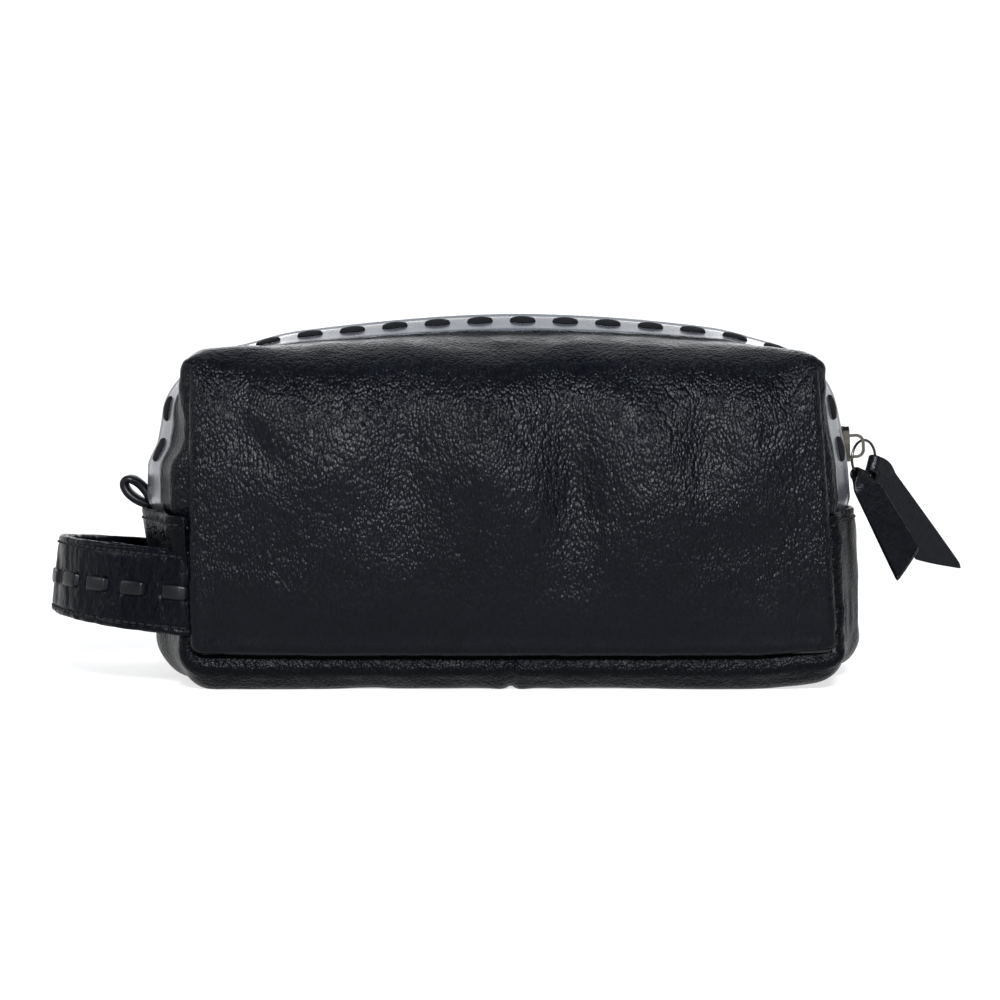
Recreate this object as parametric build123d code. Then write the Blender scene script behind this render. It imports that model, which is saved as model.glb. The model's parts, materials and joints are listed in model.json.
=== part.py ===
from build123d import *
import os
from math import asin, atan2, cos, degrees, pi, radians, sin

# A soft leather pouch, zipped shut, standing on its base.
# Millimetres, +Z up, +X towards the end with the zip slider, -Y the front.
# The origin is under the middle of the bag, on the surface that it stands on.

# ---- driving dimensions ----
LEATHER = 1.6              # thickness of every leather panel
TAPE = 0.6                 # woven zip tape
LINING_DEPTH = 2.8         # from the outside of the leather to the outside of the lining
LINING = 0.6
HEM_Z = 62.5               # top edge of the gusset at both ends
SEAM_Y = 58.0              # corner seams, between the panels and the gusset
BAND_OUTER_Y = 25.0        # seam between a panel and its zip band
BAND_INNER_Y = 6.5         # turned edge of a zip band, beside the zip
TAPE_INNER_Y = 2.4
TAPE_OUTER_Y = 9.5
LINING_MOUTH_Y = 8.8
LEAN_LEFT = 0.5            # degrees that each end leans in towards the top
LEAN_RIGHT = 3.0
WIDE = 400.0               # larger than the bag, for cutting blocks

# Cross-sections of the bag, from the middle plane out to the face of a panel:
# y, left end, right end, underside, crest, corner radius, crest above corner centre, foot radius.
CENTRE_SECTION = (0.0, 131.0, 126.5, 0.0, 133.0, 41.0, 49.0, 12.0)
SECTIONS = [
    CENTRE_SECTION,
    (BAND_INNER_Y, 131.0, 126.5, 0.0, 132.6, 41.0, 49.0, 12.0),
    (BAND_OUTER_Y, 123.0, 118.8, 0.0, 128.4, 32.0, 36.0, 12.0),
    (45.0, 115.6, 112.4, 0.0, 123.6, 20.0, 23.0, 11.0),
    (52.0, 113.0, 110.8, 3.6, 121.4, 13.0, 15.5, 10.0),
    (SEAM_Y, 110.6, 109.4, 12.0, 118.4, 8.0, 10.0, 8.0),
    (61.5, 98.0, 97.0, 23.0, 107.0, 8.0, 10.0, 8.0),
    (64.0, 80.0, 79.0, 38.0, 90.0, 8.0, 10.0, 8.0),
]
FACE_TAPER = 0.3           # share of a wall's thickness by which its inner face shrinks in outline

# Woven laces.
STITCH_PITCH = 15.6
STITCH_LENGTH = 9.4
LACE_WIDTH = 5.0
LACE = 0.9
LACE_LIFT = 0.1
LACE_MIDDLE_Y = 15.5
BAND_STITCHES = 20

# Side strap.
STRAP_RADIUS = 58.0
STRAP_WIDTH = 30.0
STRAP_CENTRE = (-110.5, 0.0, 32.3)
STRAP_LIFT = 5.4           # degrees that the far end of the strap rises
STRAP_ROLL = 3.0           # degrees that its rear end sits lower
STRAP_TUCK = 1.2           # length sewn into each corner seam
STRAP_GAP = 1.1            # between the two layers, filled by the lace
STRAP_STITCHES = 11
SEWN_GAP = 0.1             # from the leather to the cut ends of the strap and the end loop

# Zip.
TOOTH_PITCH = 3.0
TOOTH_LENGTH = 1.5
TOOTH_TOP = 0.6            # from the bag's outline down to the top of a tooth
TOOTH_HEIGHT = 1.8
TOOTH_INNER_Y = 0.5
SLIDER_ANGLE = 3.0         # degrees up the right corner arc
SLIDER_LENGTH = 13.0
SLIDER_WIDTH = 9.2
PLATE_TOP = 1.2            # outer face of the slider above the bag's outline
PLATE_FLOOR = -0.2
LOWER_PLATE_TOP = -3.25
LOWER_PLATE = 1.0
WEB = 0.6                  # divider between the two rows of teeth
BAIL_LENGTH = 9.0
BAIL_HEIGHT = 6.0
BAIL_WIRE = 1.1
BAIL_SHIFT = -1.0

# Pull ring and its two leather tabs.
RING_RADIUS = 6.9
RING_WIRE = 0.5
RING_TURN = 45.0           # degrees between the ring's plane and the long side of the bag
RING_HOOK = 135.0          # where on the ring the bail holds it
FRONT_HOOK = -108.0
BACK_HOOK = -22.0
TAB_LOOP_WIDTH = 6.0
TAB_LOOP_INNER = 1.5
TAB_LEATHER = 1.2
TAB_THICKNESS = 2.4
TAB_TOP_WIDTH = 8.6
TAB_END_WIDTH = 12.0
FRONT_TAB_DIRECTION = (0.24, -0.68, -0.69)
FRONT_TAB_ACROSS = (0.93, 0.0, 0.36)
BACK_TAB_DIRECTION = (0.50, 0.35, -0.79)
BACK_TAB_ACROSS = (0.85, 0.0, 0.54)

STITCH_THREAD = 0.7
THREAD_LIFT = 0.6          # from the leather to the middle of a hem stitch


def direction(angle):
    """Unit vector in the XZ plane, angle in degrees from +X towards +Z."""
    return Vector(cos(radians(angle)), 0, sin(radians(angle)))


def section_frame(section):
    """Centres and angles of the tangent arcs that make one cross-section."""
    y, left, right, base, crest, corner, rise, foot = section
    corner_z = crest - rise
    corner_left = Vector(-left + corner, y, corner_z)
    corner_right = Vector(right - corner, y, corner_z)
    half = (corner_right.X - corner_left.X) / 2
    top_radius = (half ** 2 + rise ** 2 - corner ** 2) / (2 * (rise - corner))
    top_centre = Vector((corner_left.X + corner_right.X) / 2, y, crest - top_radius)
    spread = degrees(asin(half / (top_radius - corner)))
    foot_z = base + foot
    reach_left = (corner - foot - (foot_z - corner_z) * sin(radians(LEAN_LEFT))) / cos(radians(LEAN_LEFT))
    reach_right = (corner - foot - (foot_z - corner_z) * sin(radians(LEAN_RIGHT))) / cos(radians(LEAN_RIGHT))
    foot_left = Vector(corner_left.X - reach_left, y, foot_z)
    foot_right = Vector(corner_right.X + reach_right, y, foot_z)
    return corner_left, corner_right, top_centre, top_radius, spread, foot_left, foot_right


def arc(centre, radius, start, end):
    """Arc in an XZ plane from one angle to another, in degrees."""
    middle = (start + end) / 2
    points = [centre + direction(angle) * radius for angle in (start, middle, end)]
    return Edge.make_three_point_arc(*points)


def cross_section(section, inset):
    """Closed wire of one cross-section, moved in by inset."""
    y, left, right, base, crest, corner, rise, foot = section
    corner_left, corner_right, top_centre, top_radius, spread, foot_left, foot_right = section_frame(section)
    small = foot - inset
    bend = corner - inset
    sole = base + inset
    right_side = direction(LEAN_RIGHT)
    left_side = direction(180 - LEAN_LEFT)
    edges = [
        Edge.make_line(Vector(foot_left.X, y, sole), Vector(foot_right.X, y, sole)),
        arc(foot_right, small, -90, LEAN_RIGHT),
        Edge.make_line(foot_right + right_side * small, corner_right + right_side * bend),
        arc(corner_right, bend, LEAN_RIGHT, 90 - spread),
        arc(top_centre, top_radius - inset, 90 - spread, 90 + spread),
        arc(corner_left, bend, 90 + spread, 180 - LEAN_LEFT),
        Edge.make_line(corner_left + left_side * bend, foot_left + left_side * small),
        arc(foot_left, small, 180 - LEAN_LEFT, 270),
    ]
    return Wire(edges)


def body_solid(inset):
    """The whole closed form of the bag, moved in by inset."""
    half = []
    for section in SECTIONS:
        y = section[0]
        face = y > SEAM_Y
        depth = y - inset if y >= SEAM_Y else y
        shrink = inset * FACE_TAPER if face else inset
        half.append((depth,) + section[1:] + (shrink,))
    stations = [(-entry[0],) + entry[1:] for entry in reversed(half[1:])] + half
    wires = [cross_section(entry[:8], entry[8]) for entry in stations]
    return Solid.make_loft(wires, ruled=True)


def block(low, high):
    """Axis-aligned block between two corners."""
    size = [b - a for a, b in zip(low, high)]
    middle = [(a + b) / 2 for a, b in zip(low, high)]
    return Pos(*middle) * Box(*size)


def mirrored(shape):
    """The same piece on the other side of the middle plane."""
    return mirror(shape, about=Plane.XZ)


def panel_region(seam_y, band_y):
    """Where the front panel lies: the face, and the part above the hem that wraps over."""
    face = block((-WIDE, -WIDE, -WIDE), (WIDE, -seam_y, WIDE))
    wrap = block((-WIDE, -WIDE, HEM_Z), (WIDE, -band_y, WIDE))
    return face + wrap


def gusset_region(seam_y, side):
    """Where one half of the gusset lies: below the hem, between the corner seams."""
    low_x, high_x = (-WIDE, 0) if side < 0 else (0, WIDE)
    return block((low_x, -seam_y, -WIDE), (high_x, seam_y, HEM_Z))


def strip(upper_inset, lower_inset, y_near, y_far):
    """A strip of material that runs over the bag from hem to hem, between two y planes."""
    layer = body_solid(upper_inset) - body_solid(lower_inset)
    return layer & block((-WIDE, y_near, HEM_Z), (WIDE, y_far, WIDE))


def blended_section(y):
    """Cross-section between the two sections of a zip band."""
    inner = SECTIONS[1]
    outer = SECTIONS[2]
    share = (abs(y) - inner[0]) / (outer[0] - inner[0])
    values = [a + (b - a) * share for a, b in zip(inner, outer)]
    return (y,) + tuple(values[1:])


def rim_path(section):
    """Open wire over the bag, from the hem at the left end to the hem at the right end."""
    y = section[0]
    corner = section[5]
    corner_left, corner_right, top_centre, top_radius, spread, foot_left, foot_right = section_frame(section)
    left_top = corner_left + direction(180 - LEAN_LEFT) * corner
    right_top = corner_right + direction(LEAN_RIGHT) * corner
    left_hem = Vector(left_top.X - (left_top.Z - HEM_Z) * sin(radians(LEAN_LEFT)), y, HEM_Z)
    right_hem = Vector(right_top.X + (right_top.Z - HEM_Z) * sin(radians(LEAN_RIGHT)), y, HEM_Z)
    return Wire([
        Edge.make_line(left_hem, left_top),
        arc(corner_left, corner, 180 - LEAN_LEFT, 90 + spread),
        arc(top_centre, top_radius, 90 + spread, 90 - spread),
        arc(corner_right, corner, 90 - spread, LEAN_RIGHT),
        Edge.make_line(right_top, right_hem),
    ])


def offset_point(path, share, height):
    """Point at a share of the path's length, raised off it by height."""
    along = path % share
    outward = Vector(-along.Z, 0, along.X)
    return (path @ share) + outward * height


def weave_heights(thickness):
    """Height of a lace's middle above the surface on its outer and inner runs."""
    outer = LACE_LIFT + LACE / 2
    inner = -thickness - LACE_LIFT - LACE / 2
    return outer, inner


def weave_stations(length, count, thickness):
    """Distance along the lace and height of its middle line, for a running stitch."""
    outer, inner = weave_heights(thickness)
    gap = (STITCH_PITCH - STITCH_LENGTH) / 2
    start = (length - count * STITCH_PITCH) / 2
    stations = []
    for index in range(count):
        first = start + index * STITCH_PITCH + gap
        last = first + STITCH_LENGTH
        stations += [(first - 1.6, inner), (first, outer)]
        stations += [((first + last) / 2, outer), (last, outer), (last + 1.6, inner)]
    return stations


def ribbon_section(path, stations):
    """Closed polygon of a lace seen from the side, along a path."""
    length = path.length
    upper = [offset_point(path, s / length, h + LACE / 2) for s, h in stations]
    lower = [offset_point(path, s / length, h - LACE / 2) for s, h in stations]
    return Wire.make_polygon(upper + lower[::-1], close=True)


def band_lace():
    """Lace woven through the front zip band."""
    near = -(LACE_MIDDLE_Y - LACE_WIDTH / 2)
    far = -(LACE_MIDDLE_Y + LACE_WIDTH / 2)
    wires = []
    for y in (far, near):
        path = rim_path(blended_section(y))
        stations = weave_stations(path.length, BAND_STITCHES, LEATHER)
        wires.append(ribbon_section(path, stations))
    return Solid.make_loft(wires, ruled=True)


def zip_band():
    """Leather strip beside the zip, at the front."""
    return strip(0, LEATHER, -BAND_OUTER_Y, -BAND_INNER_Y)


def zip_tape():
    """Woven tape under the turned edge of the front band."""
    return strip(LEATHER, LEATHER + TAPE, -TAPE_OUTER_Y, -TAPE_INNER_Y)


def zip_teeth():
    """Row of metal teeth on the front tape."""
    path = rim_path(CENTRE_SECTION)
    count = int(path.length / TOOTH_PITCH) - 4
    margin = (path.length - (count - 1) * TOOTH_PITCH) / 2
    depth = TOOTH_TOP + TOOTH_HEIGHT / 2
    width = TAPE_INNER_Y - TOOTH_INNER_Y
    teeth = []
    for index in range(count):
        share = (margin + index * TOOTH_PITCH) / path.length
        along = path % share
        place = Plane(
            origin=offset_point(path, share, -depth) + Vector(0, -(TOOTH_INNER_Y + width / 2), 0),
            x_dir=along,
            z_dir=Vector(-along.Z, 0, along.X),
        )
        teeth.append(place * Box(TOOTH_LENGTH, width, TOOTH_HEIGHT))
    return Compound(children=teeth)


def zip_stop(share):
    """Metal stop clamped across both tapes at one end of the zip."""
    path = rim_path(CENTRE_SECTION)
    along = path % share
    place = Plane(
        origin=offset_point(path, share, -TOOTH_TOP - TOOTH_HEIGHT / 2),
        x_dir=along,
        z_dir=Vector(-along.Z, 0, along.X),
    )
    return place * Box(2.4, 2 * TAPE_INNER_Y, TOOTH_HEIGHT)


def zip_end_loop(clear_of):
    """Folded lace sewn into the left end of the zip, held while the slider is pulled."""
    length, height, width = 15.0, 7.0, LACE_WIDTH
    wall = 1.8
    outline = SlotOverall(length, height) - SlotOverall(length - 2 * wall, height - 2 * wall)
    loop = extrude(outline, width / 2, both=True)
    root = Vector(-130.6, 0, HEM_Z + 1.5)
    rise = direction(137)
    place = Plane(origin=root + rise * (length / 2 - 1.0), x_dir=rise, z_dir=(0, -1, 0))
    return (place * loop) - clear_of


def strap_frame():
    """Tilt of the strap: its far end rises and its rear end sits lower."""
    turn = Rot(0, STRAP_LIFT, 0) * Rot(-STRAP_ROLL, 0, 0)
    return Pos(*STRAP_CENTRE) * turn


def strap_wall(outer_radius, inner_radius):
    """One upright layer of the strap, half a turn round the end of the bag, in its own frame."""
    ring = Circle(outer_radius) - Circle(inner_radius)
    half = ring & (Pos(-WIDE / 2 + STRAP_TUCK, 0) * Rectangle(WIDE, WIDE))
    return extrude(half, STRAP_WIDTH / 2, both=True)


def strap_lace_shape():
    """Lace woven through the middle of the strap's outer layer, in the strap's own frame."""
    surface = STRAP_RADIUS + LEATHER / 2
    length = pi * surface
    stations = weave_stations(length, STRAP_STITCHES, LEATHER)
    points = []
    for side in (1, -1):
        row = []
        for distance, height in stations:
            angle = pi / 2 + distance / surface
            radius = surface + height + side * LACE / 2
            row.append((radius * cos(angle), radius * sin(angle)))
        points += row if side > 0 else row[::-1]
    outline = make_face(Polyline(*points, close=True))
    return extrude(outline, LACE_WIDTH / 2, both=True)


def strap_pieces(clear_of):
    """Outer layer with slots, backing and lace, in place and ending at the corner seams."""
    outer_face = STRAP_RADIUS + LEATHER / 2
    inner_face = STRAP_RADIUS - LEATHER / 2
    lace = strap_lace_shape()
    outer = strap_wall(outer_face, inner_face) - lace
    backing = strap_wall(inner_face - STRAP_GAP, inner_face - STRAP_GAP - 1.2)
    frame = strap_frame()
    return frame * outer - clear_of, frame * backing - clear_of, frame * lace


def strap_stitching():
    """Two rows of thread along the strap's edges."""
    surface = STRAP_RADIUS + LEATHER / 2 + STITCH_THREAD / 2
    pitch = 3.2
    length = 2.3
    count = int((pi * surface - 12) / pitch)
    frame = strap_frame()
    stitches = []
    for height in (STRAP_WIDTH / 2 - 2.5, -STRAP_WIDTH / 2 + 2.5):
        for index in range(count):
            angle = 90 + degrees((6 + (index + 0.5) * pitch) / surface)
            spot = Rot(0, 0, angle) * Pos(surface, 0, height)
            stitches.append(frame * spot * Box(STITCH_THREAD, length, STITCH_THREAD))
    return Compound(children=stitches)


def hem_stitching(side):
    """Row of thread below the top edge of one half of the gusset."""
    height = HEM_Z - 2.5
    pitch = 3.2
    length = 2.3
    corners = []
    for section in SECTIONS[1:6]:
        corner_left, corner_right = section_frame(section)[:2]
        corner = section[5]
        lean = LEAN_LEFT if side < 0 else LEAN_RIGHT
        centre = corner_left if side < 0 else corner_right
        drop = centre.Z - height
        reach = corner * cos(radians(lean)) + (drop + corner * sin(radians(lean))) * sin(radians(lean))
        corners.append(Vector(centre.X + side * (reach + THREAD_LIFT), section[0], height))
    points = [Vector(p.X, -p.Y, p.Z) for p in reversed(corners)] + corners
    stitches = []
    for start, end in zip(points, points[1:]):
        run = end - start
        count = int(run.length / pitch)
        turn = degrees(atan2(run.Y, run.X))
        for index in range(count):
            spot = start + run * ((index + 0.5) / count)
            stitches.append(Pos(*spot) * Rot(0, 0, turn) * Box(length, STITCH_THREAD, STITCH_THREAD))
    return Compound(children=stitches)


def slider_frame():
    """Plane on the bag's outline at the slider: local X up the zip, local Z outward."""
    corner_right = section_frame(CENTRE_SECTION)[1]
    outward = direction(SLIDER_ANGLE)
    up = direction(SLIDER_ANGLE + 90)
    origin = corner_right + outward * CENTRE_SECTION[5]
    return Plane(origin=origin, x_dir=up, z_dir=outward)


def plate_outline():
    """Slider plate seen from outside: two shoulders at the top, narrower below."""
    half = SLIDER_LENGTH / 2
    wide = SLIDER_WIDTH / 2
    narrow = wide - 1.2
    points = [
        (-half, -narrow), (0, -wide), (half - 1.5, -wide), (half, -wide + 1.5),
        (half, wide - 1.5), (half - 1.5, wide), (0, wide), (-half, narrow),
    ]
    return make_face(Polyline(*points, close=True))


def zip_slider():
    """Slider: upper plate with side flanges, lower plate, divider and bail."""
    outline = plate_outline()
    upper = Pos(0, 0, PLATE_FLOOR) * extrude(outline, PLATE_TOP - PLATE_FLOOR)
    lower_floor = LOWER_PLATE_TOP - LOWER_PLATE
    lower = Pos(0, 0, lower_floor) * extrude(outline, LOWER_PLATE)
    web_height = PLATE_FLOOR - LOWER_PLATE_TOP
    web = Pos(SLIDER_LENGTH / 2 - 1.5, 0, LOWER_PLATE_TOP + web_height / 2) * Box(3.0, WEB, web_height + 0.4)
    body = upper + lower + web
    flange = block((-SLIDER_LENGTH / 2, 3.0, -1.2), (SLIDER_LENGTH / 2, WIDE, PLATE_FLOOR))
    shoulders = Pos(0, 0, -1.2) * extrude(outline, 1.0)
    for side in (flange, mirror(flange, about=Plane.XZ)):
        body += shoulders & side
    arch = RectangleRounded(BAIL_LENGTH, 2 * BAIL_HEIGHT, 3.2)
    hole = RectangleRounded(BAIL_LENGTH - 2 * BAIL_WIRE, 2 * (BAIL_HEIGHT - BAIL_WIRE), 2.2)
    above = Pos(0, BAIL_HEIGHT) * Rectangle(WIDE, 2 * BAIL_HEIGHT)
    profile = (arch - hole) & above
    bail = Pos(BAIL_SHIFT, 0, PLATE_TOP - 0.1) * Rot(90, 0, 0) * extrude(profile, BAIL_WIRE / 2, both=True)
    return slider_frame() * (body + bail)


def ring_hinge():
    """Point inside the bail where the ring's wire passes."""
    frame = slider_frame()
    hole_middle = PLATE_TOP + (BAIL_HEIGHT - BAIL_WIRE) / 2
    return frame.from_local_coords(Vector(BAIL_SHIFT, 0, hole_middle))


def ring_axes():
    """The ring's level direction and its normal."""
    level = Vector(cos(radians(RING_TURN)), sin(radians(RING_TURN)), 0)
    normal = Vector(sin(radians(RING_TURN)), -cos(radians(RING_TURN)), 0)
    return level, normal


def ring_radial(angle):
    """Unit vector from the ring's centre towards a point at this angle."""
    level = ring_axes()[0]
    return level * cos(radians(angle)) + Vector(0, 0, 1) * sin(radians(angle))


def ring_centre():
    """Centre of the ring as it hangs."""
    return ring_hinge() - ring_radial(RING_HOOK) * RING_RADIUS


def pull_ring():
    """Round wire ring through the bail."""
    level, normal = ring_axes()
    return Plane(origin=ring_centre(), x_dir=level, z_dir=normal) * Torus(RING_RADIUS, RING_WIRE)


def tab_hinge(hook):
    """Axis point and direction of a tab's loop on the ring."""
    half_chord = asin(TAB_LOOP_WIDTH / 2 / RING_RADIUS)
    sagitta = RING_RADIUS * (1 - cos(half_chord))
    point = ring_centre() + ring_radial(hook) * (RING_RADIUS - sagitta / 2)
    return point, ring_radial(hook + 90)


def pull_tab(hook, hanging, across, left_side, right_side):
    """Folded strip of leather: a loop round the ring and two leaves stitched flat."""
    point, axis = tab_hinge(hook)
    outer = TAB_LOOP_INNER + TAB_LEATHER
    loop_frame = Plane(origin=point, z_dir=axis)
    loop = loop_frame * Cylinder(outer, TAB_LOOP_WIDTH)
    tunnel = loop_frame * Cylinder(TAB_LOOP_INNER, 4 * TAB_LOOP_WIDTH)
    down = Vector(*hanging).normalized()
    sideways = (Vector(*across) - down * Vector(*across).dot(down)).normalized()
    leaf_frame = Plane(origin=point, x_dir=sideways, z_dir=sideways.cross(down))
    top = TAB_TOP_WIDTH / 2
    end = TAB_END_WIDTH / 2
    start = TAB_LOOP_INNER + 0.4
    points = [
        (-2.4, start), (2.4, start), (top, start + 4), (end, right_side),
        (-end, left_side), (-top, start + 4),
    ]
    leaf = extrude(make_face(Polyline(*points, close=True)), TAB_THICKNESS / 2, both=True)
    return (loop + leaf_frame * leaf) - tunnel


def build_all():
    """Every sub-part by name."""
    bag = body_solid(0)
    shell = bag - body_solid(LEATHER)
    lining = body_solid(LINING_DEPTH) - body_solid(LINING_DEPTH + LINING)
    lining_seam_y = SEAM_Y - LINING_DEPTH
    front_lace = band_lace()
    front_band = zip_band() - front_lace
    front_tape = zip_tape()
    front_teeth = zip_teeth()
    front_panel = shell & panel_region(SEAM_Y, BAND_OUTER_Y)
    front_lining = lining & panel_region(lining_seam_y, LINING_MOUTH_Y)
    clear_of = body_solid(-SEWN_GAP)
    strap_outer, strap_backing, strap_lace = strap_pieces(clear_of)
    rim_length = rim_path(CENTRE_SECTION).length
    return {
        "front_panel": front_panel,
        "back_panel": mirrored(front_panel),
        "gusset_left": shell & gusset_region(SEAM_Y, -1),
        "gusset_right": shell & gusset_region(SEAM_Y, 1),
        "zip_band_front": front_band,
        "zip_band_back": mirrored(front_band),
        "lace_front": front_lace,
        "lace_back": mirrored(front_lace),
        "zip_tape_front": front_tape,
        "zip_tape_back": mirrored(front_tape),
        "zip_teeth_front": front_teeth,
        "zip_teeth_back": mirrored(front_teeth),
        "zip_stop_left": zip_stop(2.5 / rim_length),
        "zip_stop_right": zip_stop(1 - 2.5 / rim_length),
        "zip_end_loop": zip_end_loop(clear_of),
        "strap_outer": strap_outer,
        "strap_backing": strap_backing,
        "strap_lace": strap_lace,
        "strap_stitching": strap_stitching(),
        "hem_stitching_left": hem_stitching(-1),
        "hem_stitching_right": hem_stitching(1),
        "lining_front": front_lining,
        "lining_back": mirrored(front_lining),
        "lining_gusset_left": lining & gusset_region(lining_seam_y, -1),
        "lining_gusset_right": lining & gusset_region(lining_seam_y, 1),
        "zip_slider": zip_slider(),
        "pull_ring": pull_ring(),
        "pull_tab_front": pull_tab(FRONT_HOOK, FRONT_TAB_DIRECTION, FRONT_TAB_ACROSS, 49.0, 39.0),
        "pull_tab_back": pull_tab(BACK_HOOK, BACK_TAB_DIRECTION, BACK_TAB_ACROSS, 43.0, 55.4),
    }


os.makedirs("parts", exist_ok=True)
for name, shape in build_all().items():
    export_step(shape, f"parts/{name}.step")
for label, point in (("slider arc centre", section_frame(CENTRE_SECTION)[1]), ("ring hinge", ring_hinge())):
    print(label, point)
for label, hook in (("front tab", FRONT_HOOK), ("back tab", BACK_HOOK)):
    print(label, *tab_hinge(hook))
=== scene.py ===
import json
import math

import bmesh
import bpy
import numpy as np
from mathutils import Matrix, Vector


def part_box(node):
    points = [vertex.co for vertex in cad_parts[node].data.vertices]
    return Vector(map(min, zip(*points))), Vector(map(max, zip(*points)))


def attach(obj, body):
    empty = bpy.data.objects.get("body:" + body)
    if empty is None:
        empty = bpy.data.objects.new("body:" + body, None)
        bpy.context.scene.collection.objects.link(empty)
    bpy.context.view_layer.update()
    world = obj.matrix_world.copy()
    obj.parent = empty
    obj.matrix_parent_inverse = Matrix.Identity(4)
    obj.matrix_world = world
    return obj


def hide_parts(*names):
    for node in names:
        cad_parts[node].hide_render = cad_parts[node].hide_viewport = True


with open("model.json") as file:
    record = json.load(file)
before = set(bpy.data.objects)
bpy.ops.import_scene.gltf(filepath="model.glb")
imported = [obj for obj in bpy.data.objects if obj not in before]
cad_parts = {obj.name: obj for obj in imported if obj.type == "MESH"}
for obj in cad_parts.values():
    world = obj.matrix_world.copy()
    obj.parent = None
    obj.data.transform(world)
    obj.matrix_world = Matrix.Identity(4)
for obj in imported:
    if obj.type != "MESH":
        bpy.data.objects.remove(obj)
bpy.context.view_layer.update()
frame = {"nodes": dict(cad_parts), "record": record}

# Lengths below are in millimetres in the CAD frame, and become metres as each mesh is made.
MM = 0.001
SIDES = (("front", -1), ("back", 1))
ENDS = ("left", "right")


# ---------------------------------------------------------------- the bag's form
HEM_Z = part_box("gusset_left")[1].z / MM
SEAM_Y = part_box("gusset_left")[1].y / MM
BAND_OUTER_Y = -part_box("zip_band_front")[0].y / MM
BAND_INNER_Y = -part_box("zip_band_front")[1].y / MM
LEATHER = 1.5

# The end walls lean in towards the top, in degrees. The right foot is tighter than the left one.
LEAN_LEFT = 0.5
LEAN_RIGHT = 4.4
RIGHT_FOOT = 0.8
# The top sags towards the left and at both ends of the zip bands.
LEFT_SAG = 1.6
BAND_END_SAG = 2.2

# Cross-sections of the bag from the middle plane to the corner seams:
# y, left end, right end, underside, crest, corner radius, crest above corner centre, foot radius.
SECTIONS = [
    (0.0, 128.8, 125.4, 0.0, 134.85, 36.0, 43.6, 15.5),
    (BAND_INNER_Y, 128.8, 125.4, 0.0, 134.45, 36.0, 43.6, 15.5),
    (BAND_OUTER_Y, 122.0, 118.4, 0.0, 128.5, 28.0, 33.0, 16.0),
    (45.0, 116.0, 113.6, 0.0, 124.8, 13.0, 15.5, 13.5),
    (52.0, 114.8, 113.0, 3.0, 123.4, 8.0, 10.5, 10.5),
    (SEAM_Y, 113.4, 112.4, 11.6, 121.2, 4.5, 6.5, 6.5),
]
# How steeply the sections change beside the zip and at the corner seam, against an even change.
ZIP_SLOPE = 0.4
CORNER_SLOPE = 1.6

# The faces stand out from their corner seams as soft pillows.
FACE_BULGE = 6.0
FACE_BULGE_ACROSS = 5
FACE_BULGE_UP = 3.2

# The roll over the panel's top edge: rows of the face that take part, reach in rows, smoothing rounds.
ROLL_FACE_ROWS = 50
ROLL_REACH = 19.0
ROLL_ROUNDS = 420

# How many steps each stretch of the outline has, and each stretch from front to back.
ALONG_TOP = 232
ALONG_LOWER_END = 54
ALONG_UPPER_END = 64
PANEL_ROWS = 33
BAND_ROWS = 19
ZIP_ROWS = 12
# How many steps of the panels and bands are tucked behind the gusset's hem.
TUCK = 5

# Places on each ring of points, which starts at the lower left corner and runs along the underside.
HEM_RIGHT = ALONG_TOP + ALONG_LOWER_END
APEX_RIGHT = HEM_RIGHT + ALONG_UPPER_END
APEX_LEFT = APEX_RIGHT + ALONG_TOP
HEM_LEFT = APEX_LEFT + ALONG_UPPER_END
RING = HEM_LEFT + ALONG_LOWER_END
SIDE = ALONG_LOWER_END + ALONG_UPPER_END

# The rows of points from front to back: where each stretch starts and how many steps it has.
STOPS = (-SEAM_Y, -BAND_OUTER_Y, -BAND_INNER_Y, BAND_INNER_Y, BAND_OUTER_Y, SEAM_Y)
STEPS = (PANEL_ROWS, BAND_ROWS, ZIP_ROWS, BAND_ROWS, PANEL_ROWS)
ROW_Y = np.concatenate([np.linspace(a, b, steps + 1)[:-1] for a, b, steps in zip(STOPS, STOPS[1:], STEPS)]
                       + [[SEAM_Y]])

# Broad swells and hollows of the panels: centre x and z, reach in x and z, height.
FACE_FORMS = [
    (0.0, 74.0, 95.0, 34.0, 3.0),
    (-9.0, 88.0, 14.0, 26.0, 3.2),
    (4.0, 62.0, 15.0, 18.0, 1.6),
    (54.0, 68.0, 17.0, 30.0, 3.6),
    (24.0, 80.0, 10.0, 32.0, -3.6),
    (-62.0, 84.0, 20.0, 22.0, 2.4),
    (-94.0, 92.0, 11.0, 20.0, -2.0),
    (-34.0, 78.0, 9.0, 24.0, -2.2),
    (92.0, 44.0, 14.0, 22.0, -1.4),
    (88.0, 80.0, 11.0, 22.0, 2.6),
    (72.0, 92.0, 9.0, 18.0, -2.2),
]
BACK_SHARE = 0.8
# Soft creases of the front panel: start, end, depth, width.
CREASES = [
    ((-108.0, 116.0), (-82.0, 82.0), 0.7, 5.0),
    ((-84.0, 84.0), (-62.0, 62.0), 0.3, 5.0),
    ((104.0, 112.0), (92.0, 90.0), 0.5, 4.0),
    ((14.0, 108.0), (28.0, 66.0), 0.45, 6.0),
    ((44.0, 112.0), (72.0, 84.0), 0.5, 5.0),
]
# Slow dents of the leather: height, size, seed, and where they fade towards a corner seam.
DENTS = [(0.8, 46.0, 11, (2, 20)), (0.25, 13.0, 23, (1, 8))]

# The underside lifts at the right, and what rests on the floor is pressed flat.
RIGHT_LIFT = 3.2
FLOOR_SOFTNESS = 0.35
FLOOR_PRESS = 0.12
FLOOR_GAP = 0.02
PRESS_BELOW = 12


# ---------------------------------------------------------------- lines, curves and noise
def unit(vectors):
    """The same directions at length 1."""
    return vectors / np.maximum(np.linalg.norm(vectors, axis=-1, keepdims=True), 1e-9)


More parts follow.
